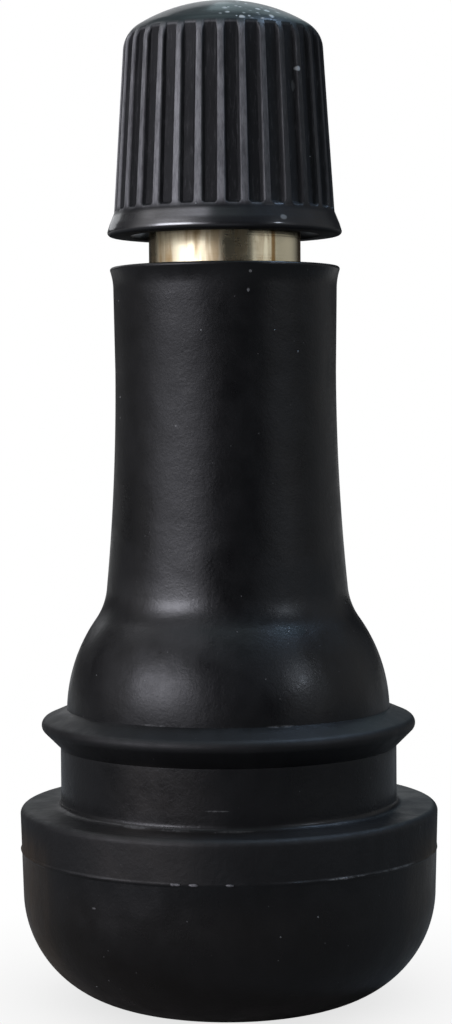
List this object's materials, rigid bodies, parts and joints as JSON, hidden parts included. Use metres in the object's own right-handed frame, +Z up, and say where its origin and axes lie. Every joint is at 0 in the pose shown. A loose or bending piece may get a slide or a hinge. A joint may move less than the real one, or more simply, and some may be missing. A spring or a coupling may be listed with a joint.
{
  "type": "tyre valve",
  "caption": "Snap-in tyre valve: rubber body with rim groove and sealing bead moulded on a brass stem, spring valve core inside, fluted screw cap on top.",
  "frame": {"origin": "centre of the flat bottom of the rubber base", "axes": "+Z up along the axis of the stem, from the base to the cap; -Y is the side that the picture shows"},
  "size_m": [0.019, 0.019, 0.0451],
  "materials": {
    "body_rubber": "moulded black rubber, satin",
    "stem_brass": "turned and polished",
    "cap_plastic": "moulded black plastic, satin, glossy crown",
    "seal_rubber": "punched flat rubber",
    "core_brass": "turned",
    "gasket_rubber": "moulded red sealing ring",
    "pin_steel": "drawn wire, nickel plated"
  },
  "bodies": {
    "valve": {"rubber_body": "body_rubber", "brass_stem": "stem_brass", "core_plug": "core_brass", "core_barrel": "core_brass", "barrel_gasket": "gasket_rubber", "core_spring": "pin_steel"},
    "seal": {"cap_seal": "seal_rubber"},
    "cap": {"valve_cap": "cap_plastic"},
    "plunger": {"core_pin": "pin_steel", "plunger_cup": "core_brass", "seat_washer": "seal_rubber"}
  },
  "joints": [
    {"name": "cap_lift", "type": "slide", "parent": "valve", "child": "seal", "axis": [0, 0, 1], "range_m": [0, 0.0087]},
    {"name": "cap_turn", "type": "hinge", "parent": "seal", "child": "cap", "pos_m": [0, 0, 0.0346], "axis": [0, 0, 1], "range_deg": [0, 3960]},
    {"name": "pin_press", "type": "slide", "parent": "valve", "child": "plunger", "axis": [0, 0, -1], "range_m": [0, 0.0012], "stiffness_N_per_m": 900, "springref_m": -0.002, "deforming": ["core_spring"]}
  ],
  "couplings": [
    {"joint": "cap_turn", "follows": "cap_lift", "rad_per_m": 7915.8}
  ]
}
